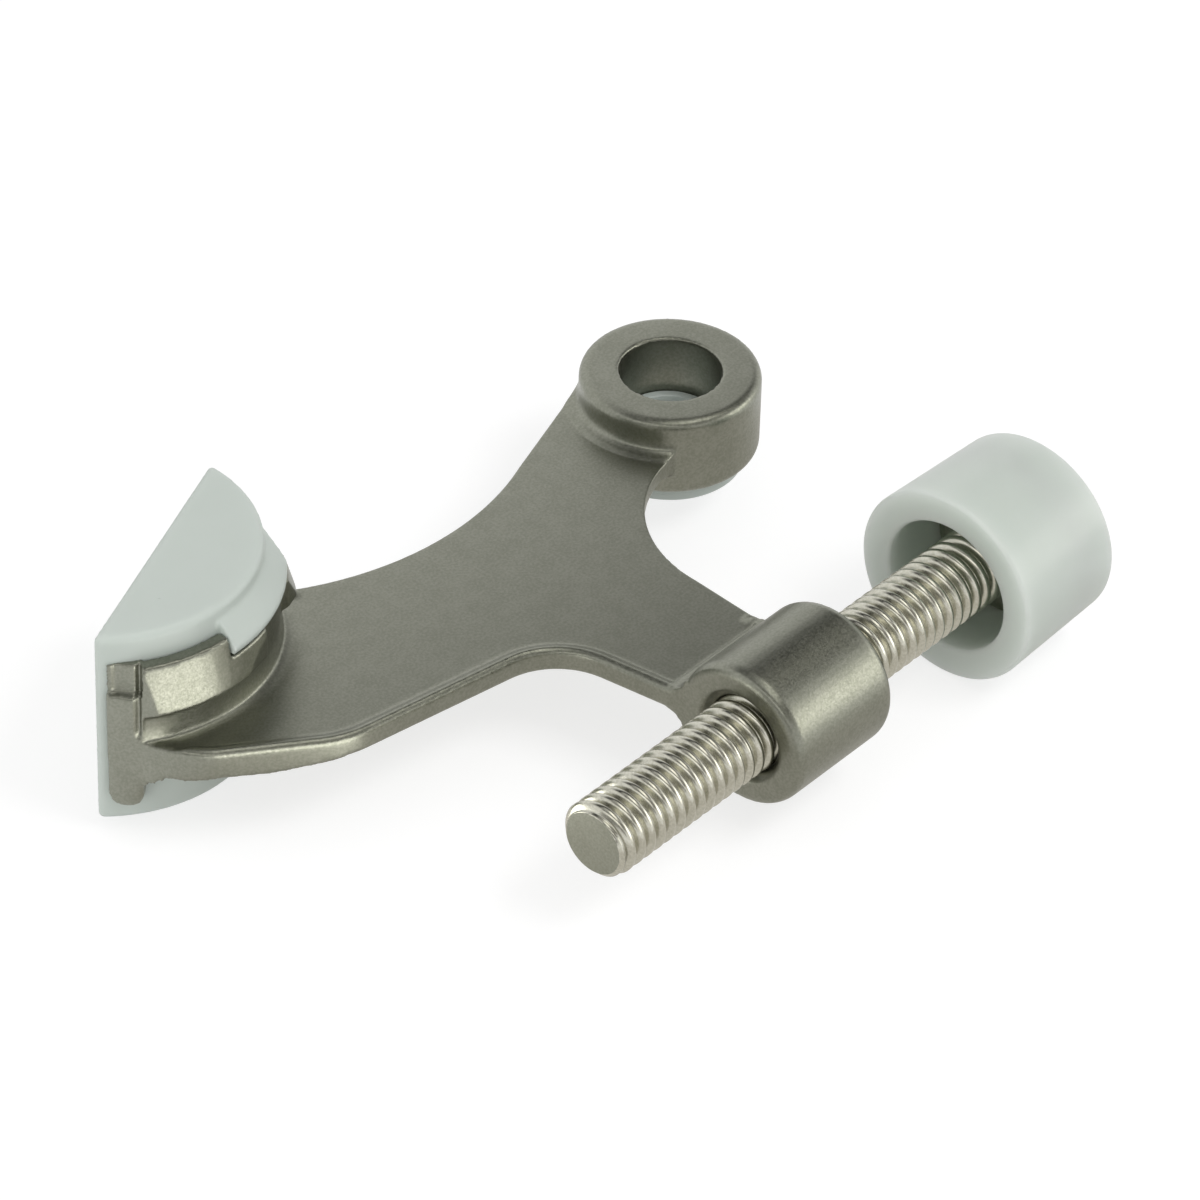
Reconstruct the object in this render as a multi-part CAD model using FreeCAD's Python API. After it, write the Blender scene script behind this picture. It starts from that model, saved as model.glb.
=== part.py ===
import FreeCAD, Part
from FreeCAD import Vector
import math
import os

# Hinge pin door stop, in millimetres. The origin is on the hinge pin's axis, at the foot of the bushing,
# where the stop sits on the hinge. +Z runs up the pin and +X along the adjusting screw to its bumper cap.
# Heights below are counted from the middle plane of the cast plate, and every piece is lifted at the end.

# Cast plate: a thin web that joins the eye, the screw boss and the pad holder
plate_thickness = 2.6
plate_edge_bevel = 0.4
dish_depth = 0.55
dish_rim = 0.75
dish_slope_run = 0.9
arm_shoulder = (-72.0, -4.2)
arm_shoulder_radius = 8.0
arm_heel = (-60.9, -12.7)
arm_heel_radius = 10.0
stem_corner = (-36.9, -17.2)
stem_corner_radius = 7.0
stem_inset = 0.2
arm_far_start = (-51.3, 9.6)
arm_far_bow = (-32.0, 1.6)
arm_far_end = (-18.4, 3.6)
bay_bow = (-16.4, -10.9)
bay_end = (-20.4, -21.0)
bay_start_angle = 225.0
far_start_angle = 109.5

# Eye around the hinge pin
eye_diameter = 18.1
eye_height = 8.8
eye_bore_diameter = 10.2
eye_edge_ease = 0.8
eye_collar_rise = 1.0
eye_collar_run = 1.5

# Bushing pressed in the eye from below
bushing_bore_diameter = 8.1
bushing_spigot_length = 2.5
bushing_flange_diameter = 15.2
bushing_flange_thickness = 1.8
bushing_edge_ease = 0.3
bushing_fit = 0.01

# Adjusting screw and its boss
screw_line_y = -38.3
screw_diameter = 7.86
screw_tip_x = -55.9
screw_tip_chamfer = 0.7
screw_running_gap = 0.05
boss_diameter = 14.9
boss_start_x = -35.1
boss_length = 14.0
boss_edge_ease = 0.9
boss_mouth_diameter = 9.9
boss_mouth_depth = 1.0
boss_root_run = 2.0
boss_root_rise = 1.7
root_overlap = 1.5

# Bumper cap snapped over the screw's head
cap_mouth_x = -4.3
cap_length = 14.0
cap_mouth_diameter = 20.5
cap_face_diameter = 19.4
cap_edge_ease = 0.6
cap_mouth_ease = 0.4
cap_bore_diameter = 13.9
cap_face_thickness = 3.2
head_diameter = 15.6
head_thickness = 2.4
head_gap = 0.3

# Pad holder: an upright saddle at the end of the arm
saddle_centre = (-64.6, 15.4)
saddle_radius = 15.45
saddle_top = 9.5
saddle_bottom = -6.85
saddle_wall = 1.4
saddle_end_x = -50.3
saddle_end_inner = (-75.9, 3.9)
saddle_end_outer = (-74.1, 1.1)
saddle_step_height = 3.3
saddle_step_depth = 0.55
wall_cove = 1.8
cove_sink = 0.1
near_rib_reach = 2.45
near_rib_end_angle = -73.0
near_rib_taper_angle = 13.0
far_rib_reach = 3.0
far_rib_start_angle = -49.0
far_rib_taper_angle = 5.0
rib_start_depth = 0.6
rib_crest_z = 4.4
rib_underside_rise = 0.7
rib_set_back = 0.25
rib_sweep = 80.0
end_plate_depth = 1.6
end_plate_top_ease = 0.4
end_plate_foot_ease = 1.3
haunch_slope = [(-74.2, -4.5), (-73.1, -2.6), (-70.5, -1.9), (-66.5, -2.0), (-60.9, -1.2)]
notch_start_x = -65.0
notch_depth = 2.1

# Pad held in the saddle
pad_gap = 0.1
pad_overhang = 2.85
pad_foot_overhang = 2.5
pad_face_angle = 21.2
pad_face_offset = 5.2
pad_edge_bevel = 0.4
key_end_x = -51.6
key_gap = 0.12
key_proud = 0.4
key_rise = 1.5
key_root = 2.0
key_lip_height = 0.8
key_lip_run = 0.3

# Reach of the blocks that trim the pieces, beyond any of them
trim_reach = 120.0

os.makedirs("parts", exist_ok=True)

half_plate = plate_thickness / 2
half_eye = eye_height / 2
boss_end_x = boss_start_x + boss_length
cap_face_x = cap_mouth_x + cap_length
head_end_x = cap_face_x - cap_face_thickness
head_start_x = head_end_x - head_thickness
pad_radius = saddle_radius - pad_gap
lift = half_eye + bushing_flange_thickness


def point(pair, z=0.0):
    return Vector(pair[0], pair[1], z)


def on_circle(radius, angle):
    """A point on a circle about the origin, at an angle in degrees from +X."""
    return Vector(radius * math.cos(math.radians(angle)), radius * math.sin(math.radians(angle)), 0)


def revolved_about_z(section, centre=(0.0, 0.0), start=0.0, sweep=360.0):
    """Turns a closed (radius, z) section about an upright axis."""
    turned = section.copy()
    turned.rotate(Vector(0, 0, 0), Vector(0, 0, 1), start)
    turned.translate(point(centre))
    return turned.revolve(point(centre), Vector(0, 0, 1), sweep)


def polygon_face(corners):
    """A face through (radius, z) corners, drawn in the XZ plane."""
    points = [Vector(r, 0, z) for r, z in corners]
    return Part.Face(Part.makePolygon(points + points[:1]))


def eased(corners):
    """Cuts each (u, v, ease) corner of a closed outline by two small facets, near a round of that radius."""
    points = []
    following = corners[1:] + corners[:1]
    leading = corners[-1:] + corners[:-1]
    for before, corner, after in zip(leading, corners, following):
        tip = Vector(corner[0], corner[1], 0)
        ease = corner[2]
        if ease == 0:
            points.append((tip.x, tip.y))
            continue
        back = (Vector(before[0], before[1], 0) - tip).normalize()
        ahead = (Vector(after[0], after[1], 0) - tip).normalize()
        middle = ease * (1 - math.sqrt(0.5))
        for cut in (tip + back * ease, tip + (back + ahead) * middle, tip + ahead * ease):
            points.append((cut.x, cut.y))
    return points


def along_screw(corners):
    """Turns a closed (x, radius) outline about the screw's line."""
    points = [Vector(x, screw_line_y + r, 0) for x, r in corners]
    face = Part.Face(Part.makePolygon(points + points[:1]))
    return face.revolve(Vector(0, screw_line_y, 0), Vector(1, 0, 0), 360)


def edges_where(shape, test):
    return [edge for edge in shape.Edges if test(edge)]


def rounded_path(corners):
    """Lines through (x, y, radius) corners, with an arc of that radius at each inner corner."""
    edges = []
    start = point(corners[0])
    for before, corner, after in zip(corners, corners[1:], corners[2:]):
        tip = point(corner)
        back = (point(before) - tip).normalize()
        ahead = (point(after) - tip).normalize()
        half_angle = back.getAngle(ahead) / 2
        setback = corner[2] / math.tan(half_angle)
        reach = corner[2] / math.sin(half_angle) - corner[2]
        leave = tip + back * setback
        join = tip + ahead * setback
        middle = tip + (back + ahead).normalize() * reach
        edges.append(Part.makeLine(start, leave))
        edges.append(Part.Arc(leave, middle, join).toShape())
        start = join
    edges.append(Part.makeLine(start, point(corners[-1])))
    return edges


def plate_outline():
    """Plan of the plate: arm, stem to the boss, bay beside the hinge and the far edge back to the holder."""
    eye_radius = eye_diameter / 2
    stem_end_y = screw_line_y + (boss_diameter + screw_diameter) / 4
    stem_low = Vector(boss_start_x + stem_inset, stem_end_y, 0)
    stem_high = Vector(boss_end_x - stem_inset, stem_end_y, 0)
    bay_start = on_circle(eye_radius, bay_start_angle)
    eye_side = on_circle(eye_radius, far_start_angle)
    edges = rounded_path([
        saddle_end_outer,
        (*arm_shoulder, arm_shoulder_radius),
        (*arm_heel, arm_heel_radius),
        (*stem_corner, stem_corner_radius),
        (stem_low.x, stem_low.y)])
    edges += [
        Part.makeLine(stem_low, stem_high),
        Part.makeLine(stem_high, point(bay_end)),
        Part.Arc(point(bay_end), point(bay_bow), bay_start).toShape(),
        Part.makeLine(bay_start, Vector(0, 0, 0)),
        Part.makeLine(Vector(0, 0, 0), eye_side),
        Part.makeLine(eye_side, point(arm_far_end)),
        Part.Arc(point(arm_far_end), point(arm_far_bow), point(arm_far_start)).toShape(),
        Part.makeLine(point(arm_far_start), point(saddle_centre)),
        Part.makeLine(point(saddle_centre), point(saddle_end_inner)),
        Part.makeLine(point(saddle_end_inner), point(saddle_end_outer)),
    ]
    return Part.Wire(edges)


def dish():
    """The shallow hollow in each face of the plate, with sloping sides inside a raised rim."""
    outline = Part.Face(plate_outline())
    top = outline.makeOffset2D(-dish_rim, join=2).OuterWire
    floor = outline.makeOffset2D(-dish_rim - dish_slope_run, join=2).OuterWire
    top.translate(Vector(0, 0, half_plate))
    floor.translate(Vector(0, 0, half_plate - dish_depth))
    hollow = Part.makeLoft([floor, top], True, True)
    cap = Part.Face(top).extrude(Vector(0, 0, 1))
    return hollow.fuse(cap)


def plate():
    outline = Part.Face(plate_outline())
    slab = outline.extrude(Vector(0, 0, plate_thickness))
    slab.translate(Vector(0, 0, -half_plate))
    rims = edges_where(slab, lambda edge: abs(abs(edge.CenterOfMass.z) - half_plate) < 0.01)
    slab = slab.makeChamfer(plate_edge_bevel, rims)
    hollow = dish()
    return slab.cut([hollow, hollow.mirror(Vector(0, 0, 0), Vector(0, 0, 1))])


def holder():
    """The saddle: an upright wall on the plate with two ribs, closed at its near end by a rounded plate."""
    inner = saddle_radius
    outer = inner + saddle_wall
    dish_floor = half_plate - dish_depth
    foot_cove = cove((outer, dish_floor + wall_cove), (outer + wall_cove, dish_floor - cove_sink))
    section = polygon_face([(inner, saddle_top), (outer, saddle_top)] + foot_cove
                           + [(outer + wall_cove, 0), (outer, 0), (outer, -half_plate), (inner, -half_plate)])
    beyond = Part.makeBox(trim_reach, trim_reach, trim_reach,
                          Vector(saddle_end_x, -trim_reach / 2, -trim_reach / 2))
    notch = Part.makeBox(trim_reach, trim_reach, notch_depth,
                         Vector(notch_start_x, saddle_centre[1] - trim_reach, saddle_top - notch_depth))
    wall = revolved_about_z(section, saddle_centre)
    return wall.fuse(ribs()).cut([beyond, notch, end_step(), rib_step()]).fuse(end_plate())


def rib(reach, start_angle, taper):
    """A sloping rib around the wall from start_angle, which a flat taper thins over the angle given."""
    outer = saddle_radius + saddle_wall
    crest = saddle_radius + reach
    hidden = saddle_radius + saddle_wall / 2
    underside = rib_crest_z - rib_underside_rise
    section = polygon_face([
        (hidden, saddle_top), (outer, saddle_top), (crest, rib_crest_z), (outer, underside),
        (hidden, underside)])
    full_angle = start_angle + taper
    swept_from = start_angle if taper > 0 else start_angle - rib_sweep
    centre = point(saddle_centre)
    full = centre + on_circle(crest, full_angle)
    thin = centre + on_circle(outer + rib_start_depth, start_angle)
    outward = on_circle(trim_reach, start_angle)
    taper_block = upright_prism([full, thin, thin + outward, full + outward], -trim_reach / 2)
    return revolved_about_z(section, saddle_centre, swept_from, rib_sweep).cut(taper_block)


def ribs():
    """The near rib tapers away under the pad's key. The far one starts past the key."""
    near = rib(near_rib_reach, near_rib_end_angle, -near_rib_taper_angle)
    return near.fuse(rib(far_rib_reach, far_rib_start_angle, far_rib_taper_angle))


def upright_prism(corners, low):
    prism = Part.Face(Part.makePolygon(corners + corners[:1])).extrude(Vector(0, 0, trim_reach))
    prism.translate(Vector(0, 0, low))
    return prism


def toward_pad(start, along):
    """The level direction square to a line, on the pad's side of it."""
    inward = Vector(-along.y, along.x, 0)
    if inward.dot(point(saddle_centre) - start) < 0:
        return inward * -1
    return inward


def strip_beside(start, end, depth):
    """Corners of a strip that runs from start through end and lies on the pad's side of that line."""
    along = (end - start).normalize()
    inward = toward_pad(start, along)
    reach = start + along * trim_reach
    return [start, reach, reach + inward * depth, start + inward * depth]


def end_step():
    """Takes the top of the saddle's near end back from the end face."""
    strip = strip_beside(point(saddle_end_outer), point(saddle_end_inner), saddle_step_depth)
    return upright_prism(strip, saddle_top - saddle_step_height)


def rib_step():
    """Sets the near end of the rib and its wall back from the side of the arm."""
    return upright_prism(strip_beside(point(saddle_end_outer), point(arm_shoulder), rib_set_back), half_plate)


def end_plate():
    """The rounded plate that closes the near end and reaches below the arm as a foot."""
    outer = point(saddle_end_outer)
    inner = point(saddle_end_inner)
    along = (inner - outer).normalize()
    width = (inner - outer).Length
    top = saddle_top - saddle_step_height
    outline = eased([
        (0, saddle_bottom, end_plate_foot_ease), (width, saddle_bottom, end_plate_foot_ease),
        (width, top, end_plate_top_ease), (0, top, end_plate_top_ease)])
    points = [outer + along * s + Vector(0, 0, z) for s, z in outline]
    face = Part.Face(Part.makePolygon(points + points[:1]))
    return face.extrude(toward_pad(outer, along) * end_plate_depth)


def haunch():
    """Thickens the arm below, where it runs into the near end of the saddle."""
    outline = haunch_slope + [(haunch_slope[-1][0], 0), (haunch_slope[0][0], 0)]
    block = polygon_face(outline).extrude(Vector(0, trim_reach, 0))
    block.translate(Vector(0, -trim_reach / 2, 0))
    return block


def eye():
    radius = eye_diameter / 2
    return revolved_about_z(polygon_face(eased([
        (0, -half_eye, 0), (radius, -half_eye, eye_edge_ease), (radius, half_eye, eye_edge_ease),
        (0, half_eye, 0)])))


def cove(start, end):
    """Points of a hollow quarter round that leaves an upright wall at start and reaches end level."""
    run = end[0] - start[0]
    rise = start[1] - end[1]
    return [(start[0] + run * (1 - math.cos(angle)), start[1] - rise * math.sin(angle))
            for angle in (0, math.pi / 6, math.pi / 3, math.pi / 2)]


def root_face(wall, run, rise):
    """Section of a cove on both faces of the plate, beside an upright wall at the given distance."""
    upper = cove((wall, half_plate + rise), (wall + run, half_plate))
    lower = [(r, -z) for r, z in reversed(upper)]
    inside = wall - root_overlap
    return polygon_face(upper + lower + [(inside, -half_plate - rise), (inside, half_plate + rise)])


def eye_root():
    return revolved_about_z(root_face(eye_diameter / 2, eye_collar_run, eye_collar_rise))


def boss_root():
    """The cove where the stem of the plate runs into the barrel of the boss."""
    height = half_plate + boss_root_rise
    wall = math.sqrt((boss_diameter / 2) ** 2 - height ** 2)
    section = root_face(wall, boss_root_run, boss_root_rise)
    section.rotate(Vector(0, 0, 0), Vector(0, 0, 1), 90)
    section.translate(Vector(boss_start_x, screw_line_y, 0))
    return section.extrude(Vector(boss_length, 0, 0))


def boss():
    radius = boss_diameter / 2
    return along_screw(eased([
        (boss_start_x, 0, 0), (boss_start_x, radius, boss_edge_ease), (boss_end_x, radius, boss_edge_ease),
        (boss_end_x, 0, 0)]))


def cast_body():
    footprint = Part.Face(plate_outline()).extrude(Vector(0, 0, trim_reach))
    footprint.translate(Vector(0, 0, -trim_reach / 2))
    grown = [shape.common(footprint) for shape in (holder(), haunch(), eye_root(), boss_root())]
    body = plate().fuse(grown + [eye(), boss()])
    body = body.cut(Part.makeCylinder(saddle_radius, trim_reach, point(saddle_centre, -trim_reach / 2)))
    body = body.cut(Part.makeCylinder(eye_bore_diameter / 2, eye_height, Vector(0, 0, -half_eye)))
    hole_radius = screw_diameter / 2 + screw_running_gap
    mouth = [(boss_start_x, 0), (boss_start_x, boss_mouth_diameter / 2),
             (boss_start_x + boss_mouth_depth, hole_radius),
             (boss_end_x - boss_mouth_depth, hole_radius),
             (boss_end_x, boss_mouth_diameter / 2), (boss_end_x, 0)]
    return body.cut(along_screw(mouth)).removeSplitter()


def pin_bushing():
    """Flanged bushing: the flange bears on the hinge below, the spigot sits in the eye."""
    bore = bushing_bore_diameter / 2
    spigot = eye_bore_diameter / 2 - bushing_fit
    flange = bushing_flange_diameter / 2
    seat = -half_eye
    low = seat - bushing_flange_thickness
    top = seat + bushing_spigot_length
    soft = bushing_edge_ease
    return revolved_about_z(polygon_face([
        (bore, low), (flange - soft, low), (flange, low + soft), (flange, seat), (spigot, seat),
        (spigot, top - soft), (spigot - soft, top), (bore, top)]))


def adjusting_screw():
    """Screw with a plain round head that turns inside the bumper cap. Its thread is cut to the head."""
    radius = screw_diameter / 2
    head = head_diameter / 2
    return along_screw([
        (screw_tip_x, 0), (screw_tip_x, radius - screw_tip_chamfer),
        (screw_tip_x + screw_tip_chamfer, radius), (head_start_x, radius), (head_start_x, head),
        (head_end_x, head), (head_end_x, 0)])


def bumper_cap():
    """Tapered soft cap with an open mouth and a groove that holds the screw's head."""
    mouth = cap_mouth_diameter / 2
    face = cap_face_diameter / 2
    bore = cap_bore_diameter / 2
    groove = head_diameter / 2 + head_gap
    groove_start = head_start_x - head_gap
    groove_end = head_end_x + head_gap
    blank = along_screw(eased([
        (cap_mouth_x, 0, 0), (cap_mouth_x, mouth, cap_mouth_ease), (cap_face_x, face, cap_edge_ease),
        (cap_face_x, 0, 0)]))
    hollow = along_screw([
        (cap_mouth_x - 1, 0), (cap_mouth_x - 1, bore), (groove_start, bore), (groove_start, groove),
        (groove_end, groove), (groove_end, 0)])
    return blank.cut(hollow)


def saddle_pad():
    """D-shaped pad: its back fills the saddle, its flat face meets the door trim, its key fills the notch."""
    low = saddle_bottom - pad_foot_overhang
    height = saddle_top + pad_overhang - low
    face_angle = math.radians(pad_face_angle)
    facing = Vector(-math.sin(face_angle), math.cos(face_angle), 0)
    half_chord = math.sqrt(pad_radius ** 2 - pad_face_offset ** 2)
    along = Vector(math.cos(face_angle), math.sin(face_angle), 0)
    foot = point(saddle_centre, low) - facing * pad_face_offset
    start = foot - along * half_chord
    end = foot + along * half_chord
    back = point(saddle_centre, low) - facing * pad_radius
    plan = Part.Face(Part.Wire([Part.Arc(start, back, end).toShape(), Part.makeLine(end, start)]))
    block = plan.extrude(Vector(0, 0, height))
    block = block.makeChamfer(pad_edge_bevel, block.Edges)
    key_low = saddle_top - notch_depth + key_gap
    key_out = saddle_radius + saddle_wall + key_proud
    root = pad_radius - key_root
    lip = key_low + key_lip_height
    crown = saddle_top + key_rise
    section = polygon_face([
        (root, key_low), (key_out, key_low), (key_out + key_lip_run, lip),
        (key_out - key_lip_run, lip + key_lip_height), (pad_radius, crown), (root, crown)])
    key = revolved_about_z(section, saddle_centre)
    slot_start = notch_start_x + key_gap
    slot = Part.makeBox(key_end_x - slot_start, trim_reach, trim_reach,
                        Vector(slot_start, saddle_centre[1] - trim_reach, 0))
    return block.fuse(key.common(slot)).removeSplitter()


pieces = {
    "cast_body": cast_body(),
    "pin_bushing": pin_bushing(),
    "adjusting_screw": adjusting_screw(),
    "bumper_cap": bumper_cap(),
    "saddle_pad": saddle_pad(),
}
for name, shape in pieces.items():
    shape.translate(Vector(0, 0, lift))
    shape.exportStep(f"parts/{name}.step")
    print(name, shape.isValid(), len(shape.Solids), round(shape.Volume, 1))
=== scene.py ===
import math

import bmesh
import bpy
import numpy as np
from mathutils import Euler, Matrix, Vector


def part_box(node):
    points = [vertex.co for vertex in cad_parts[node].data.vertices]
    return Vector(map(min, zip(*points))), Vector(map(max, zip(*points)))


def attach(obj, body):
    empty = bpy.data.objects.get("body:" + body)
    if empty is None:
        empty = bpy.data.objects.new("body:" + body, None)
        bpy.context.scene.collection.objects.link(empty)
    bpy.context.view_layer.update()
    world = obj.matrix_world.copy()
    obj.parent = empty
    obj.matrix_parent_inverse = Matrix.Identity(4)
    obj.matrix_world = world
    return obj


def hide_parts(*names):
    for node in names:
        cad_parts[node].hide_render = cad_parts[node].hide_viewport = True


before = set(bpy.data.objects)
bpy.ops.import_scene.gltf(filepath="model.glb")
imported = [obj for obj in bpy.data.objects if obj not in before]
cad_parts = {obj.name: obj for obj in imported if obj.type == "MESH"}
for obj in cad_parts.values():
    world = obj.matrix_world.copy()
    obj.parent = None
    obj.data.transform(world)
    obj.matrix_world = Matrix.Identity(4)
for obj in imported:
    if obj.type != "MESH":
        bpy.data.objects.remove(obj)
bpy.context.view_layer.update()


# Cast body
# One zinc casting with the eye, the web, the boss for the screw and the saddle for the pad.
# It is tumbled until every edge is soft, filed and polished by hand in places, and plated in satin nickel.

tumbling_grain = 0.00017
tumbling_rounds = 10
rubbing_rounds = 2
casting_faces = 185000
off_the_grid = Euler((0.54, 0.40, 0.30)).to_matrix().to_4x4()
nickel = (0.282, 0.286, 0.240)
nickel_shade = (0.232, 0.238, 0.194)

dish_floor = 0.00695
plate_top = 0.00750
eye_radius = 0.00905
saddle_middle = (-0.0646, 0.0154)
arm_near_edge = [(-0.0760, -0.0020), (-0.0720, -0.0042), (-0.0609, -0.0127), (-0.0369, -0.0172),
                 (-0.0357, -0.0300)]

# The rim of the dish is kept up to the first value and is gone at the second. They are distances from the
# arm's near edge, the pin's axis and the saddle's middle, and for the boss a place in Y.
rim_kept_by_edge = (0.0026, 0.0038)
rim_kept_by_eye = (0.0100, 0.0108)
rim_kept_by_saddle = (0.0188, 0.0198)
rim_kept_by_boss = (-0.0290, -0.0275)

# The coves are filed down between their start at the wall and their end. At the foot, cove_left of their
# height is left, and more of it further up.
saddle_cove_start = (0.01665, 0.01685)
saddle_cove_end = (0.0190, 0.0200)
eye_cove_start = (eye_radius - 0.0002, eye_radius)
eye_cove_end = (0.0114, 0.0122)
cove_clear_of_edge = (0.0012, 0.0020)
cove_height = (0.0006, 0.0022)
cove_left = 0.35

# The step at the top of the end plate and the groove beside the stem below it.
end_plate_corner = (-0.07380, 0.00165)
end_plate_way = (-0.5405, 0.8413)
end_plate_reach = 0.0011
plate_step = {"width": 0.0024, "low": 0.01262, "high": 0.01900, "depth": 0.00028, "fade": 0.00030}
plate_groove = {"width": 0.00012, "low": 0.00790, "high": 0.01600, "depth": 0.00070, "fade": 0.00022}


def set_in_scene(name, mesh, material):
    mesh.materials.clear()
    mesh.materials.append(material)
    piece = bpy.data.objects.new(name, mesh)
    bpy.context.scene.collection.objects.link(piece)
    for face in mesh.polygons:
        face.use_smooth = True
    return piece


def carry_out(piece):
    """Makes the work of the piece's modifiers part of its mesh."""
    bpy.context.view_layer.update()
    finished = piece.evaluated_get(bpy.context.evaluated_depsgraph_get())
    piece.data = bpy.data.meshes.new_from_object(finished)
    piece.modifiers.clear()


def tumbled(node, name, grain, rounds, most_faces, material, hand_work):
    """A copy of a machined solid, worked by hand, with its edges and inner corners worn soft."""
    piece = set_in_scene(name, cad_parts[node].data.copy(), material)
    piece.data.transform(off_the_grid)
    remesh = piece.modifiers.new("grain", "REMESH")
    remesh.mode = "VOXEL"
    remesh.voxel_size = grain
    remesh.use_smooth_shade = True
    carry_out(piece)
    piece.data.transform(off_the_grid.inverted())
    points = np.empty(len(piece.data.vertices) * 3, dtype=np.float32)
    piece.data.vertices.foreach_get("co", points)
    hand_work(points.reshape(-1, 3))
    piece.data.vertices.foreach_set("co", points)
    wear = piece.modifiers.new("wear", "SMOOTH")
    wear.factor = 0.5
    wear.iterations = rounds
    carry_out(piece)
    triangles = sum(len(face.vertices) - 2 for face in piece.data.polygons)
    thin = piece.modifiers.new("thinned", "DECIMATE")
    thin.ratio = min(1.0, most_faces / triangles)
    rub = piece.modifiers.new("rubbed", "SMOOTH")
    rub.factor = 0.5
    rub.iterations = rubbing_rounds
    carry_out(piece)
    piece.data.materials.clear()
    piece.data.materials.append(material)
    return piece


def eased(values, start, stop):
    """Runs from 0 at start to 1 at stop, smoothly."""
    share = np.clip((values - start) / (stop - start), 0.0, 1.0)
    return share * share * (3 - 2 * share)


def fading(values, start, stop):
    """Runs from 1 at start to 0 at stop, smoothly."""
    return eased(-values, -stop, -start)


def distance_to_line(plan, corners):
    """How far each point lies from a line through the corners, seen from above."""
    nearest = np.full(len(plan), 1.0)
    for first, second in zip(corners, corners[1:]):
        first = np.array(first)
        run = np.array(second) - first
        share = np.clip(((plan - first) @ run) / (run @ run), 0.0, 1.0)
        nearest = np.minimum(nearest, np.linalg.norm(plan - first - share[:, None] * run, axis=1))
    return nearest


def polish_away_rim(points):
    """The rim of the dish stays along the arm's near edge. Elsewhere it is polished down to the floor."""
    plan = points[:, :2]
    from_edge = distance_to_line(plan, arm_near_edge)
    from_eye = np.linalg.norm(plan, axis=1)
    from_saddle = np.linalg.norm(plan - np.array(saddle_middle), axis=1)
    share = eased(from_edge, *rim_kept_by_edge) * eased(from_eye, *rim_kept_by_eye)
    share = share * eased(from_saddle, *rim_kept_by_saddle) * eased(plan[:, 1], *rim_kept_by_boss)
    height = points[:, 2]
    rim = (height > dish_floor) & (height < plate_top + 0.0001)
    points[rim, 2] -= (share * (height - dish_floor))[rim]


def tighten_coves(points):
    """The coves around the feet of the saddle and the eye are filed down to tight inner corners."""
    plan = points[:, :2]
    from_edge = distance_to_line(plan, arm_near_edge)
    from_eye = np.linalg.norm(plan, axis=1)
    from_saddle = np.linalg.norm(plan - np.array(saddle_middle), axis=1)
    at_saddle = eased(from_saddle, *saddle_cove_start) * fading(from_saddle, *saddle_cove_end)
    at_saddle = at_saddle * eased(from_edge, *cove_clear_of_edge)
    at_eye = eased(from_eye, *eye_cove_start) * fading(from_eye, *eye_cove_end)
    height = points[:, 2] - dish_floor
    lowered = height * (cove_left + (1 - cove_left) * eased(height, *cove_height))
    foot = (height > 0) & (height < cove_height[1])
    share = np.maximum(at_saddle, at_eye)
    points[foot, 2] += (share * (lowered - height))[foot]


def press_in(points, width, low, high, depth, fade):
    """Presses a flat upright patch of the end plate inwards, with soft borders."""
    along = np.array(end_plate_way)
    outward = np.array((-along[1], along[0]))
    offset = points[:, :2] - np.array(end_plate_corner)
    side = offset @ along
    share = eased(side, -fade, 0.0) * fading(side, width, width + fade)
    share = share * eased(points[:, 2], low - fade, low) * fading(points[:, 2], high, high + fade)
    share = share * (np.abs(offset @ outward) < end_plate_reach)
    points[:, :2] -= (share * depth)[:, None] * outward


def finish_by_hand(points):
    polish_away_rim(points)
    tighten_coves(points)
    press_in(points, **plate_step)
    press_in(points, **plate_groove)


def fine_grain_group():
    """Fine mottle and pits of a tumbled, plated casting, as a mask and a height."""
    group = bpy.data.node_groups.new("plated grain", "ShaderNodeTree")
    face = group.interface
    for scale, value in (("Mottle Scale", 420.0), ("Speckle Scale", 3600.0), ("Grain Scale", 5200.0)):
        face.new_socket(scale, in_out="INPUT", socket_type="NodeSocketFloat").default_value = value
    face.new_socket("Mottle", in_out="OUTPUT", socket_type="NodeSocketFloat")
    face.new_socket("Grain", in_out="OUTPUT", socket_type="NodeSocketFloat")
    nodes = group.nodes
    links = group.links
    enter = nodes.new("NodeGroupInput")
    leave = nodes.new("NodeGroupOutput")
    place = nodes.new("ShaderNodeTexCoord")
    mottle = nodes.new("ShaderNodeTexNoise")
    mottle.inputs["Detail"].default_value = 4.0
    mottle.inputs["Roughness"].default_value = 0.6
    speckle = nodes.new("ShaderNodeTexNoise")
    speckle.inputs["Detail"].default_value = 3.0
    grain = nodes.new("ShaderNodeTexNoise")
    grain.inputs["Detail"].default_value = 2.0
    both = nodes.new("ShaderNodeMix")
    both.inputs["Factor"].default_value = 0.68
    for scale, noise in (("Mottle Scale", mottle), ("Speckle Scale", speckle), ("Grain Scale", grain)):
        links.new(place.outputs["Object"], noise.inputs["Vector"])
        links.new(enter.outputs[scale], noise.inputs["Scale"])
    links.new(mottle.outputs["Fac"], both.inputs["A"])
    links.new(speckle.outputs["Fac"], both.inputs["B"])
    links.new(both.outputs["Result"], leave.inputs["Mottle"])
    links.new(grain.outputs["Fac"], leave.inputs["Grain"])
    return group


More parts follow.
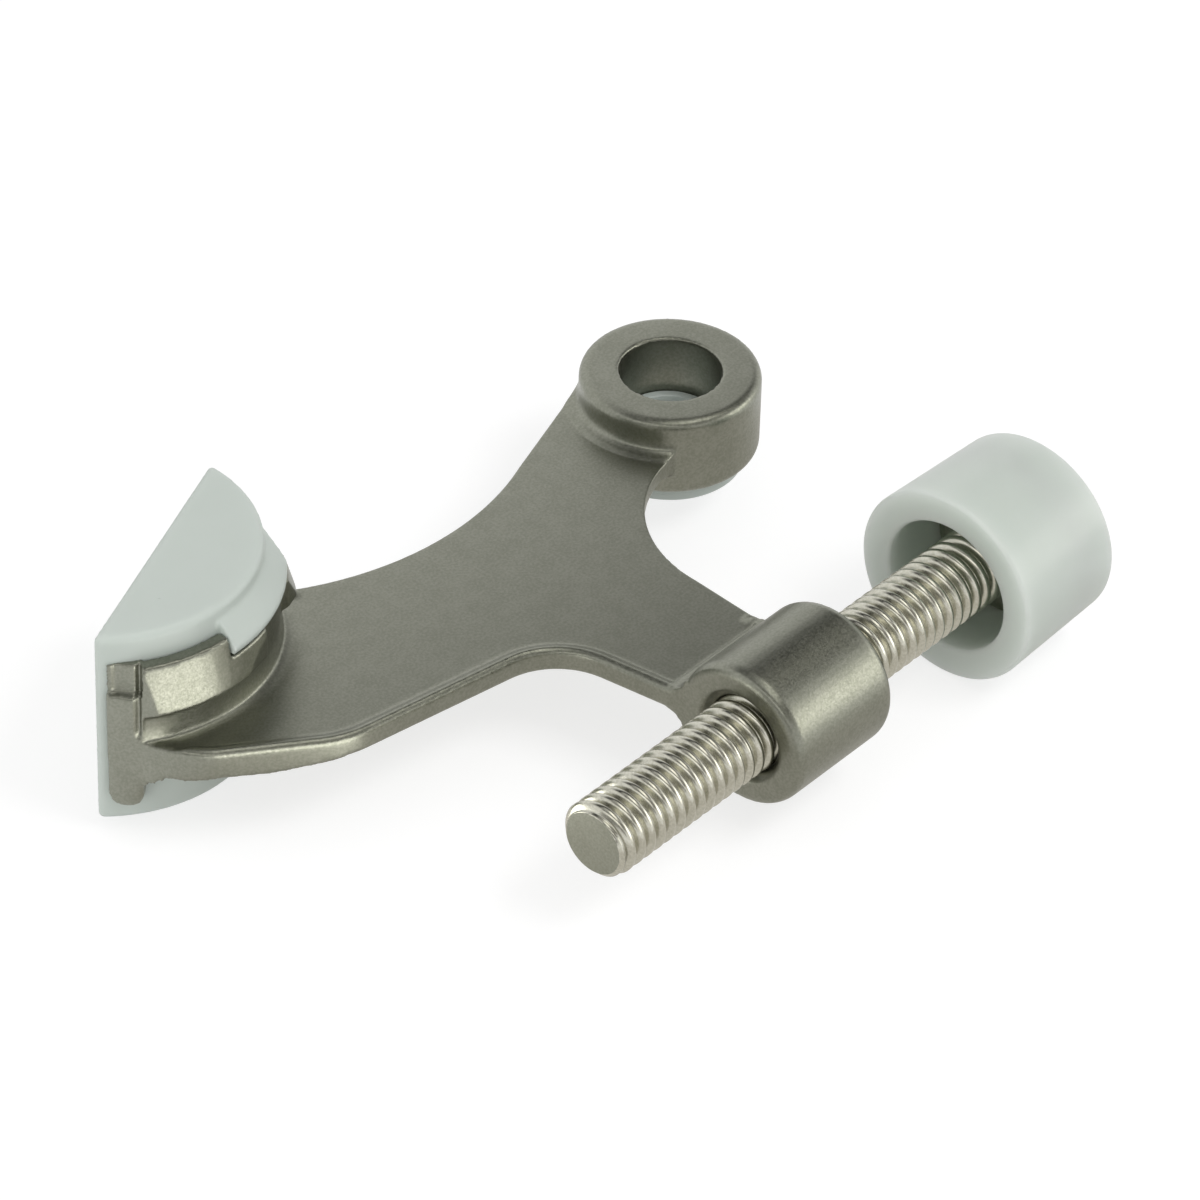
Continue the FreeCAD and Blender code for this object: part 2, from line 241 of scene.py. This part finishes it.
def textured_skin(material, height, smooth, rough, bump):
    """Gives a material the roughness and the fine relief that the height of its grain calls for."""
    nodes = material.node_tree.nodes
    links = material.node_tree.links
    shader = nodes["Principled BSDF"]
    gloss = nodes.new("ShaderNodeMapRange")
    gloss.inputs["From Min"].default_value = 0.3
    gloss.inputs["From Max"].default_value = 0.7
    gloss.inputs["To Min"].default_value = smooth
    gloss.inputs["To Max"].default_value = rough
    relief = nodes.new("ShaderNodeBump")
    relief.inputs["Strength"].default_value = bump
    relief.inputs["Distance"].default_value = 0.00002
    links.new(height, gloss.inputs["Value"])
    links.new(gloss.outputs["Result"], shader.inputs["Roughness"])
    links.new(height, relief.inputs["Height"])
    links.new(relief.outputs["Normal"], shader.inputs["Normal"])


def nickel_plate(name, bright, dull, smooth, rough, bump):
    """Satin nickel plate: mottled between two shades and two roughnesses, with a fine grain."""
    plate = bpy.data.materials.new(name)
    plate.use_nodes = True
    nodes = plate.node_tree.nodes
    links = plate.node_tree.links
    shader = nodes["Principled BSDF"]
    shader.inputs["Metallic"].default_value = 1.0
    grain = nodes.new("ShaderNodeGroup")
    grain.node_tree = plated_grain
    shade = nodes.new("ShaderNodeMix")
    shade.data_type = "RGBA"
    shade.inputs["A"].default_value = (*dull, 1.0)
    shade.inputs["B"].default_value = (*bright, 1.0)
    spread = nodes.new("ShaderNodeMapRange")
    spread.inputs["From Min"].default_value = 0.40
    spread.inputs["From Max"].default_value = 0.60
    links.new(grain.outputs["Mottle"], spread.inputs["Value"])
    links.new(spread.outputs["Result"], shade.inputs["Factor"])
    links.new(shade.outputs["Result"], shader.inputs["Base Color"])
    textured_skin(plate, grain.outputs["Grain"], smooth, rough, bump)
    return plate


plated_grain = fine_grain_group()
satin_nickel = nickel_plate("satin nickel on the casting", nickel, nickel_shade,
                            smooth=0.28, rough=0.44, bump=0.36)
casting = tumbled("cast_body", "casting", tumbling_grain, tumbling_rounds, casting_faces, satin_nickel,
                  finish_by_hand)
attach(casting, "stop")
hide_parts("cast_body")


# Pin bushing
# A flanged bushing moulded in white plastic. Its spigot is pressed into the eye from below.
# It keeps the hinge pin from rubbing on the metal.

plastic_pale = (0.62, 0.68, 0.64)
plastic_deep = tuple(0.93 * part for part in plastic_pale)
bushing_bore = 0.00405
bushing_spigot = 0.00509
flange_thickness = 0.0018
bore_ease = 0.0002
spigot_ease = 0.0003
flange_foot_ease = 0.0003
flange_top_ease = 0.00025


def turned(name, profile, axis, centre, around, material):
    """Turns a closed outline of (along, radius) points about the axis that runs through centre."""
    mesh = bpy.data.meshes.new(name)
    form = bmesh.new()
    across = Vector((0, 1, 0)) if axis.x else Vector((1, 0, 0))
    side = axis.cross(across)
    rings = []
    for step in range(around):
        angle = 2 * math.pi * step / around
        out = across * math.cos(angle) + side * math.sin(angle)
        rings.append([form.verts.new(centre + axis * along + out * radius) for along, radius in profile])
    count = len(profile)
    for step in range(around):
        ring = rings[step]
        following = rings[(step + 1) % around]
        for index in range(count):
            after = (index + 1) % count
            form.faces.new((ring[index], ring[after], following[after], following[index]))
    bmesh.ops.remove_doubles(form, verts=form.verts, dist=1e-7)
    bmesh.ops.dissolve_degenerate(form, edges=form.edges, dist=1e-8)
    bmesh.ops.recalc_face_normals(form, faces=form.faces)
    form.to_mesh(mesh)
    form.free()
    return set_in_scene(name, mesh, material)


def rounded(outline, steps=5):
    """Rounds each (along, radius, round) corner of a closed outline."""
    points = []
    count = len(outline)
    for index, (along, radius, turn) in enumerate(outline):
        tip = Vector((along, radius))
        if turn == 0:
            points.append((along, radius))
            continue
        back = (Vector(outline[index - 1][:2]) - tip).normalized()
        ahead = (Vector(outline[(index + 1) % count][:2]) - tip).normalized()
        half = back.angle(ahead) / 2
        leave = tip + back * (turn / math.tan(half))
        join = tip + ahead * (turn / math.tan(half))
        middle = tip + (back + ahead).normalized() * (turn / math.sin(half))
        start = leave - middle
        end = join - middle
        for step in range(steps + 1):
            part = step / steps
            out = (start * (1 - part) + end * part).normalized() * turn
            points.append(tuple(middle + out))
    return points


def mould_group():
    """Flow marks and fine texture of a moulded white plastic, as a mask and a height."""
    group = bpy.data.node_groups.new("moulded skin", "ShaderNodeTree")
    face = group.interface
    for scale, value in (("Cloud Scale", 120.0), ("Skin Scale", 2600.0)):
        face.new_socket(scale, in_out="INPUT", socket_type="NodeSocketFloat").default_value = value
    face.new_socket("Cloud", in_out="OUTPUT", socket_type="NodeSocketFloat")
    face.new_socket("Skin", in_out="OUTPUT", socket_type="NodeSocketFloat")
    nodes = group.nodes
    links = group.links
    enter = nodes.new("NodeGroupInput")
    leave = nodes.new("NodeGroupOutput")
    place = nodes.new("ShaderNodeTexCoord")
    cloud = nodes.new("ShaderNodeTexNoise")
    cloud.inputs["Detail"].default_value = 2.0
    skin = nodes.new("ShaderNodeTexNoise")
    skin.inputs["Detail"].default_value = 3.0
    for kind, noise in (("Cloud", cloud), ("Skin", skin)):
        links.new(place.outputs["Object"], noise.inputs["Vector"])
        links.new(enter.outputs[kind + " Scale"], noise.inputs["Scale"])
        links.new(noise.outputs["Fac"], leave.inputs[kind])
    return group


def moulded_white(name, pale, deep, smooth, rough, glow, glow_depth, bump):
    """White moulding compound, slightly clouded, that lets a little light into its skin."""
    white = bpy.data.materials.new(name)
    white.use_nodes = True
    nodes = white.node_tree.nodes
    links = white.node_tree.links
    shader = nodes["Principled BSDF"]
    shader.inputs["Subsurface Weight"].default_value = glow
    shader.inputs["Subsurface Radius"].default_value = (1.0, 1.0, 1.0)
    shader.inputs["Subsurface Scale"].default_value = glow_depth
    shader.inputs["IOR"].default_value = 1.48
    skin = nodes.new("ShaderNodeGroup")
    skin.node_tree = moulded_skin
    shade = nodes.new("ShaderNodeMix")
    shade.data_type = "RGBA"
    shade.inputs["A"].default_value = (*deep, 1.0)
    shade.inputs["B"].default_value = (*pale, 1.0)
    links.new(skin.outputs["Cloud"], shade.inputs["Factor"])
    links.new(shade.outputs["Result"], shader.inputs["Base Color"])
    textured_skin(white, skin.outputs["Skin"], smooth, rough, bump)
    return white


moulded_skin = mould_group()
bushing_white = moulded_white("white plastic of the bushing", plastic_pale, plastic_deep,
                              smooth=0.38, rough=0.50, glow=0.15, glow_depth=0.0015, bump=0.15)
bushing_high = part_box("pin_bushing")[1]
flange_radius = bushing_high.x
bushing = turned("bushing", rounded([
    (0.0, bushing_bore, bore_ease),
    (0.0, flange_radius, flange_foot_ease),
    (flange_thickness, flange_radius, flange_top_ease),
    (flange_thickness, bushing_spigot, 0.0),
    (bushing_high.z, bushing_spigot, spigot_ease),
    (bushing_high.z, bushing_bore, bore_ease)]),
    Vector((0, 0, 1)), Vector((0, 0, 0)), 96, bushing_white)
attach(bushing, "stop")
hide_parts("pin_bushing")


# Saddle pad
# A soft pad moulded in translucent white rubber. Its round back fills the saddle, its flat face meets the
# door trim, and its key drops into the notch of the saddle's wall.

pad_grain = 0.00022
pad_rounds = 9
pad_faces = 90000
flash_trim = 0.00001
rubber_pale = (0.59, 0.645, 0.60)
rubber_deep = (0.55, 0.605, 0.56)
pad_low, pad_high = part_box("saddle_pad")


def trimmed_flush(points):
    """The flash is trimmed off the pad's top and foot."""
    points[:, 2] = np.clip(points[:, 2], pad_low.z + flash_trim, pad_high.z - flash_trim)


pad_rubber = moulded_white("white rubber of the pad", rubber_pale, rubber_deep,
                           smooth=0.42, rough=0.55, glow=0.40, glow_depth=0.0025, bump=0.2)
pad = tumbled("saddle_pad", "pad", pad_grain, pad_rounds, pad_faces, pad_rubber, trimmed_flush)
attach(pad, "stop")
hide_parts("saddle_pad")


# Adjusting screw
# A long steel screw with a rolled thread, nickel plated. It turns in the boss and moves the bumper.
# Its flat round head sits in the groove of the bumper cap.

thread_pitch = 0.0254 / 18
thread_radius = 0.00393
thread_depth = 0.00080
thread_root = 0.08
thread_flank = 0.74
thread_fullness = 0.9
tip_chamfer = 0.0007
tip_face_depth = 0.00002
core_radius = 0.0005
head_thickness = 0.0024
head_inner_ease = 0.0004
head_outer_ease = 0.0005
screw_low, screw_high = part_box("adjusting_screw")
screw_axis = Vector((0, -0.0383, 0.0062))
head_radius = (screw_high.y - screw_low.y) / 2
head_start = screw_high.x - head_thickness
bright_nickel = (0.60, 0.59, 0.51)
bright_nickel_shade = (0.52, 0.51, 0.43)
dull_nickel = (0.33, 0.335, 0.28)
dull_nickel_shade = (0.28, 0.285, 0.235)


def thread_height(turn):
    """Share of the thread's depth at a place in its pitch: a narrow root, full flanks and a round crest."""
    climb = 1 - abs(2 * (turn % 1.0) - 1)
    flank = min(max((climb - thread_root) / thread_flank, 0.0), 1.0)
    return math.sin(flank * math.pi / 2) ** thread_fullness


def rolled_thread(form, start, stop, around=72, along=10):
    """A helical thread from start to stop, chamfered at its start and closed by a flat face at each end."""
    rows = int(math.ceil((stop - start) / thread_pitch * along)) + 2 * along
    grid = []
    for step in range(around):
        angle = 2 * math.pi * step / around
        column = []
        for row in range(-along, rows):
            x = start + thread_pitch * (row / along + step / around)
            radius = thread_radius - thread_depth * (1 - thread_height(row / along))
            radius = min(radius, max(thread_radius - tip_chamfer + (x - start), core_radius))
            column.append(form.verts.new((x, screw_axis.y + radius * math.cos(angle),
                                          screw_axis.z + radius * math.sin(angle))))
        grid.append(column)
    # The last column meets the first one a whole turn further along.
    for step, column in enumerate(grid):
        shift = 0 if step + 1 < around else along
        beside = grid[(step + 1) % around]
        for row in range(len(column) - 1 - shift):
            form.faces.new((column[row], column[row + 1], beside[row + 1 + shift], beside[row + shift]))
    for plane, way in ((start, -1), (stop, 1)):
        cut = bmesh.ops.bisect_plane(form, geom=form.verts[:] + form.edges[:] + form.faces[:],
                                     plane_co=(plane, 0, 0), plane_no=(way, 0, 0), clear_outer=True)
        rim = [part for part in cut["geom_cut"] if isinstance(part, bmesh.types.BMEdge)]
        bmesh.ops.contextual_create(form, geom=rim)


screw_plate = nickel_plate("bright nickel on the screw", bright_nickel, bright_nickel_shade,
                           smooth=0.20, rough=0.27, bump=0.04)
sheared_end = nickel_plate("dull nickel on the screw's end", dull_nickel, dull_nickel_shade,
                           smooth=0.42, rough=0.58, bump=0.5)
screw_mesh = bpy.data.meshes.new("screw")
screw_form = bmesh.new()
rolled_thread(screw_form, screw_low.x, head_start)
screw_form.normal_update()
bmesh.ops.recalc_face_normals(screw_form, faces=screw_form.faces)
screw_form.to_mesh(screw_mesh)
screw_form.free()
screw = set_in_scene("screw", screw_mesh, screw_plate)
screw_mesh.materials.append(sheared_end)
for face in screw_mesh.polygons:
    if face.center.x < screw_low.x + tip_face_depth:
        face.material_index = 1
        face.use_smooth = False
head = turned("screw_head", rounded([
    (head_start, 0.0, 0.0),
    (head_start, head_radius, head_inner_ease),
    (screw_high.x, head_radius, head_outer_ease),
    (screw_high.x, 0.0, 0.0)]),
    Vector((1, 0, 0)), screw_axis, 96, screw_plate)
for piece in (screw, head):
    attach(piece, "screw")
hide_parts("adjusting_screw")


# Bumper cap
# A tapered cap moulded in white rubber with a smooth skin, snapped over the head of the screw.
# Its open mouth shows the thread running in, and its flat end meets the door.

cap_low, cap_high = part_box("bumper_cap")
cap_mouth_radius = (cap_high.y - cap_low.y) / 2 - flash_trim
cap_face_radius = 0.0097
cap_bore = 0.00695
cap_mouth_ease = 0.0004
cap_face_ease = 0.0006
cap_groove_ease = 0.0002
cap_lip_ease = 0.0003
head_gap = 0.0003
cap_pale = (0.62, 0.67, 0.62)
cap_deep = (0.58, 0.63, 0.58)
cap_rubber = moulded_white("white rubber of the cap", cap_pale, cap_deep,
                           smooth=0.28, rough=0.36, glow=1.0, glow_depth=0.005, bump=0.1)
cap = turned("cap", rounded([
    (cap_low.x, cap_bore, cap_mouth_ease),
    (cap_low.x, cap_mouth_radius, cap_mouth_ease),
    (cap_high.x, cap_face_radius, cap_face_ease),
    (cap_high.x, 0.0, 0.0),
    (screw_high.x + head_gap, 0.0, 0.0),
    (screw_high.x + head_gap, head_radius + head_gap, cap_groove_ease),
    (head_start - head_gap, head_radius + head_gap, cap_groove_ease),
    (head_start - head_gap, cap_bore, cap_lip_ease)]),
    Vector((1, 0, 0)), screw_axis, 160, cap_rubber)
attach(cap, "bumper")
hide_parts("bumper_cap")


# Studio
# A white floor, a soft key light from above and a fill from the left, and lit and dark cards that only the
# metal mirrors. The camera looks down on the stop as it lies on the floor.

floor_height = -0.00420
floor_glow_in_shade = 0.22
floor_glow_seen = 0.70
room_glow = 0.62
backdrop_glow = 1.0
middle = Vector((-0.032, -0.018, 0.005))
white_light = (1.0, 1.0, 1.0)
warm = (1.0, 0.99, 0.94)
grey = (1.0, 0.97, 0.92)


def stage_plane(name, centre, normal, width, height, material):
    mesh = bpy.data.meshes.new(name)
    facing = Vector(normal).normalized()
    turn = facing.to_track_quat("Z", "Y")
    corners = [turn @ Vector((x * width / 2, y * height / 2, 0)) + Vector(centre)
               for x, y in ((-1, -1), (1, -1), (1, 1), (-1, 1))]
    mesh.from_pydata([tuple(corner) for corner in corners], [], [(0, 1, 2, 3)])
    piece = set_in_scene(name, mesh, material)
    return piece


def seen_or_mirrored(tree):
    """A value of 1 where a surface is seen, directly or in a mirror, and 0 where it only lights others."""
    rays = tree.nodes.new("ShaderNodeLightPath")
    direct = tree.nodes.new("ShaderNodeMath")
    direct.operation = "MAXIMUM"
    passed = tree.nodes.new("ShaderNodeMath")
    passed.operation = "MAXIMUM"
    tree.links.new(rays.outputs["Is Camera Ray"], direct.inputs[0])
    tree.links.new(rays.outputs["Is Glossy Ray"], direct.inputs[1])
    tree.links.new(direct.outputs[0], passed.inputs[0])
    tree.links.new(rays.outputs["Is Transmission Ray"], passed.inputs[1])
    return passed.outputs[0]


def floor_white():
    """A white light table: matt, with a glow of its own that keeps the shadow faint."""
    white = bpy.data.materials.new("white sweep")
    white.use_nodes = True
    tree = white.node_tree
    shader = tree.nodes["Principled BSDF"]
    shader.inputs["Base Color"].default_value = (0.40, 0.40, 0.40, 1.0)
    shader.inputs["Roughness"].default_value = 1.0
    shader.inputs["Specular IOR Level"].default_value = 0.0
    shader.inputs["Emission Color"].default_value = (*white_light, 1.0)
    glow = tree.nodes.new("ShaderNodeMapRange")
    glow.inputs["To Min"].default_value = floor_glow_in_shade
    glow.inputs["To Max"].default_value = floor_glow_seen
    tree.links.new(seen_or_mirrored(tree), glow.inputs["Value"])
    tree.links.new(glow.outputs["Result"], shader.inputs["Emission Strength"])
    return white


stage_plane("floor", (-0.02, -0.01, floor_height), (0, 0, 1), 6.0, 6.0, floor_white())

world = bpy.data.worlds.new("studio")
bpy.context.scene.world = world
world.use_nodes = True
sky = world.node_tree
sky.nodes.clear()
sky_out = sky.nodes.new("ShaderNodeOutputWorld")
choose = sky.nodes.new("ShaderNodeMixShader")
sky.links.new(seen_or_mirrored(sky), choose.inputs["Fac"])
for slot, strength in ((1, room_glow), (2, backdrop_glow)):
    wall = sky.nodes.new("ShaderNodeBackground")
    wall.inputs["Color"].default_value = (*white_light, 1.0)
    wall.inputs["Strength"].default_value = strength
    sky.links.new(wall.outputs[0], choose.inputs[slot])
sky.links.new(choose.outputs[0], sky_out.inputs["Surface"])


def soft_light(name, direction, distance, size, strength, colour):
    """A soft lamp that lights the stop but shows in no mirror."""
    lamp = bpy.data.lights.new(name, "AREA")
    lamp.shape = "RECTANGLE"
    lamp.size = size[0]
    lamp.size_y = size[1]
    lamp.energy = strength
    lamp.color = colour
    stand = bpy.data.objects.new(name, lamp)
    bpy.context.scene.collection.objects.link(stand)
    way = Vector(direction).normalized()
    stand.location = middle + way * distance
    stand.rotation_euler = way.to_track_quat("Z", "Y").to_euler()
    stand.visible_glossy = False


def mirrored_card(name, centre, normal, size, strength, colour):
    """A lit card that only polished surfaces mirror."""
    glow = bpy.data.materials.new(name)
    glow.use_nodes = True
    glow.node_tree.nodes.clear()
    light = glow.node_tree.nodes.new("ShaderNodeEmission")
    out = glow.node_tree.nodes.new("ShaderNodeOutputMaterial")
    light.inputs["Color"].default_value = (*colour, 1.0)
    light.inputs["Strength"].default_value = strength
    glow.node_tree.links.new(light.outputs[0], out.inputs["Surface"])
    panel = stage_plane(name, centre, normal, size[0], size[1], glow)
    panel.visible_camera = False
    panel.visible_diffuse = False
    panel.visible_shadow = False
    panel.visible_transmission = False
    return panel


def soft_box(name, direction, distance, size, strength, colour):
    """A mirrored card that faces the stop from a direction."""
    way = Vector(direction).normalized()
    mirrored_card(name, middle + way * distance, -way, size, strength, colour)


def bearing(azimuth, height):
    """Direction from the stop at an azimuth from +X and a height above the floor, in degrees."""
    turn = math.radians(azimuth)
    rise = math.radians(height)
    return (math.cos(turn) * math.cos(rise), math.sin(turn) * math.cos(rise), math.sin(rise))


# Lamps and cards: direction, distance, size, strength, colour.
soft_light("key light", bearing(-70, 55), 0.6, (0.30, 0.20), 1.1, white_light)
soft_light("left fill", bearing(-172, 14), 0.6, (0.30, 0.30), 0.85, (1.0, 1.0, 0.98))
soft_box("ceiling", (0.10, 0.12, 1.0), 0.60, (1.30, 1.30), 0.50, white_light)
soft_box("overhead strip", bearing(-70, 74), 0.56, (0.50, 0.22), 2.0, warm)
soft_box("key panel", bearing(-46, 13), 0.50, (0.34, 0.22), 3.1, warm)
soft_box("top flag", bearing(-5, 50), 0.48, (0.40, 0.18), 0.08, grey)
soft_box("front flag", bearing(-98, 40), 0.50, (0.66, 0.26), 0.28, grey)
soft_box("left flag", bearing(-165, 6), 0.52, (0.60, 0.22), 0.22, grey)
soft_box("left upper flag", bearing(-165, 50), 0.50, (0.45, 0.16), 0.18, grey)
soft_box("left strip", bearing(-156, 31), 0.51, (0.40, 0.07), 2.2, warm)

# Cards close to the stop: centre, facing, size, strength, colour.
# The first card is painted shade: a sheet dimmer than the floor, seen only in the metal, standing in for the
# floor's shade near the stop.
mirrored_card("painted floor shade", (-0.0310, -0.0425, floor_height + 0.0002), (0, 0, 1), (0.102, 0.085), 0.72, grey)
mirrored_card("rib card", (-0.0725, -0.0240, 0.0045), (0.05, 0.93, 0.35), (0.028, 0.012), 3.6, warm)
back_card = mirrored_card("back card", (0.035, 0.065, 0.084), (0.0, -0.5, -0.86), (0.26, 0.14), 1.0,
                          white_light)

# The back card gets brighter from its near side to its far side.
fade = back_card.data.materials[0].node_tree
across_card = fade.nodes.new("ShaderNodeTexCoord")
split = fade.nodes.new("ShaderNodeSeparateXYZ")
ramp = fade.nodes.new("ShaderNodeMapRange")
ramp.inputs["From Min"].default_value = 0.026
ramp.inputs["From Max"].default_value = 0.062
ramp.inputs["To Min"].default_value = 0.0
ramp.inputs["To Max"].default_value = 1.08
fade.links.new(across_card.outputs["Object"], split.inputs[0])
fade.links.new(split.outputs["Y"], ramp.inputs["Value"])
fade.links.new(ramp.outputs["Result"], fade.nodes["Emission"].inputs["Strength"])

camera = bpy.data.cameras.new("camera")
camera.sensor_width = 36.0
camera.lens = 214.82
camera.clip_start = 0.01
camera.clip_end = 20.0
view = bpy.data.objects.new("camera", camera)
bpy.context.scene.collection.objects.link(view)
camera_place = Vector((-0.44066, -0.35819, 0.42956))
across = Vector((0.65336, -0.75668, 0.02367))
upward = Vector((0.45694, 0.41909, 0.78458))
toward = across.cross(upward)
view.matrix_world = Matrix((
    (across.x, upward.x, toward.x, camera_place.x),
    (across.y, upward.y, toward.y, camera_place.y),
    (across.z, upward.z, toward.z, camera_place.z),
    (0.0, 0.0, 0.0, 1.0)))
bpy.context.scene.camera = view
bpy.context.scene.view_settings.view_transform = "Standard"
